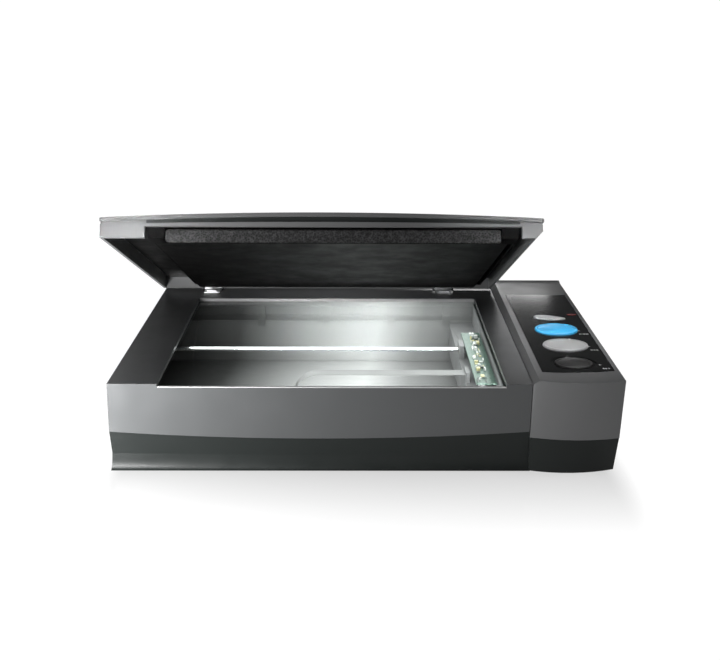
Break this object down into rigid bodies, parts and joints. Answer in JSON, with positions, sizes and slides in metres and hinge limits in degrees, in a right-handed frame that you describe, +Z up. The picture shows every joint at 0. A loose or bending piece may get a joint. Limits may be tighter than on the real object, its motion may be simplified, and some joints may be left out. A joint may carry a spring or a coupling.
{
  "type": "flatbed scanner",
  "caption": "Flatbed document scanner with a book-edge glass, a friction-hinged lid, a belt-driven carriage and a raised column of push buttons.",
  "frame": {"origin": "middle of the footprint, on the plane the feet stand on", "axes": "+X to the user's right along the long side, +Y away from the user towards the lid hinge, +Z up"},
  "size_m": [0.453, 0.285, 0.2278],
  "materials": {
    "charcoal_plastic": "satin moulded ABS, near black with a green cast",
    "frame_plastic": "satin painted ABS, dark grey",
    "graphite_plastic": "satin metallic graphite paint on ABS",
    "clear_glass": "clear float glass, polished",
    "white_strip": "matt white film",
    "gloss_black": "high gloss black acrylic",
    "red_lens": "translucent red lens",
    "board_green": "green solder mask",
    "zinc_plate": "zinc plated sheet steel",
    "satin_black": "satin black moulded plastic",
    "carriage_grey": "satin mid grey moulded plastic",
    "rubber": "matt black rubber",
    "polished_steel": "bright ground and nickel plated steel",
    "nylon": "natural nylon",
    "brass": "plain brass",
    "front_mirror": "front-surface glass mirror",
    "foam": "open-cell charcoal foam",
    "silver_cap": "silver painted cap",
    "blue_cap": "bright blue moulded cap",
    "grey_cap": "mid grey moulded cap"
  },
  "bodies": {
    "base": {"lower_housing": "charcoal_plastic", "upper_housing": "frame_plastic", "panel_cover": "graphite_plastic", "scan_glass": "clear_glass", "calibration_strip": "white_strip", "control_inlay": "gloss_black", "status_lens": "red_lens", "button_board": "board_green", "main_board": "board_green", "usb_socket": "zinc_plate", "power_socket": "satin_black", "scan_switch": "satin_black", "blue_switch": "satin_black", "grey_switch": "satin_black", "black_switch": "satin_black", "foot_1": "rubber", "foot_2": "rubber", "foot_3": "rubber", "foot_4": "rubber", "guide_rod": "polished_steel", "rod_bracket_left": "satin_black", "rod_bracket_right": "satin_black", "drive_belt": "rubber", "gear_plate": "zinc_plate", "stepper_motor": "zinc_plate", "idler_bracket": "zinc_plate", "flat_cable": "white_strip", "flat_cable_socket": "nylon", "hinge_left_base_leaf": "polished_steel", "hinge_left_pin": "polished_steel", "hinge_right_base_leaf": "polished_steel", "hinge_right_pin": "polished_steel"},
    "lid": {"lid_shell": "graphite_plastic", "lid_liner": "satin_black", "pad_tray": "satin_black", "foam_pad": "foam", "pad_sheet": "satin_black", "hinge_left_lid_leaf": "polished_steel", "hinge_right_lid_leaf": "polished_steel"},
    "carriage": {"carriage_housing": "carriage_grey", "carriage_cover": "carriage_grey", "rod_bushing_left": "brass", "rod_bushing_right": "brass", "lamp_tube": "white_strip", "lamp_reflector": "zinc_plate", "mirror_1": "front_mirror", "mirror_2": "front_mirror", "lens_block": "satin_black", "sensor_board": "board_green", "belt_clamp": "nylon", "slide_pad_front": "nylon", "slide_pad_rear": "nylon"},
    "drive_gear": {"drive_gear": "nylon"},
    "motor_pinion": {"motor_pinion": "brass"},
    "idler_pulley": {"idler_pulley": "nylon"},
    "scan_button": {"scan_button": "silver_cap"},
    "blue_button": {"blue_button": "blue_cap"},
    "grey_button": {"grey_button": "grey_cap"},
    "black_button": {"black_button": "satin_black"},
    "travel_lock": {"travel_lock": "nylon"}
  },
  "joints": [
    {"name": "lid_hinge", "type": "hinge", "parent": "base", "child": "lid", "pos_m": [0, 0.1311, 0.0858], "axis": [-1, 0, 0], "range_deg": [-27.31, 60]},
    {"name": "carriage_slide", "type": "slide", "parent": "base", "child": "carriage", "axis": [-1, 0, 0], "range_m": [0, 0.304], "deforming": ["flat_cable"]},
    {"name": "drive_gear_spin", "type": "hinge", "parent": "base", "child": "drive_gear", "pos_m": [0.184, -0.02, 0.012], "axis": [0, 0, 1], "range_deg": [-2649.1, 2649.1]},
    {"name": "motor_spin", "type": "hinge", "parent": "base", "child": "motor_pinion", "pos_m": [0.2022, -0.02, 0.017], "axis": [0, 0, 1], "range_deg": [-7927.2, 7927.2]},
    {"name": "idler_spin", "type": "hinge", "parent": "base", "child": "idler_pulley", "pos_m": [-0.208, -0.02, 0.011], "axis": [0, 0, 1], "range_deg": [-2649.1, 2649.1]},
    {"name": "lock_slide", "type": "slide", "parent": "base", "child": "travel_lock", "axis": [0, 1, 0], "range_m": [0, 0.011]},
    {"name": "scan_button_press", "type": "slide", "parent": "base", "child": "scan_button", "axis": [0, 0, -1], "range_m": [0, 0.001], "stiffness_N_per_m": 250, "springref_m": -0.001},
    {"name": "blue_button_press", "type": "slide", "parent": "base", "child": "blue_button", "axis": [0, 0, -1], "range_m": [0, 0.001], "stiffness_N_per_m": 250, "springref_m": -0.001},
    {"name": "grey_button_press", "type": "slide", "parent": "base", "child": "grey_button", "axis": [0, 0, -1], "range_m": [0, 0.001], "stiffness_N_per_m": 250, "springref_m": -0.001},
    {"name": "black_button_press", "type": "slide", "parent": "base", "child": "black_button", "axis": [0, 0, -1], "range_m": [0, 0.001], "stiffness_N_per_m": 250, "springref_m": -0.001}
  ],
  "couplings": [
    {"joint": "drive_gear_spin", "follows": "carriage_slide", "rad_per_m": 151.52},
    {"joint": "motor_spin", "follows": "carriage_slide", "rad_per_m": -454.55},
    {"joint": "idler_spin", "follows": "carriage_slide", "rad_per_m": 151.52}
  ]
}
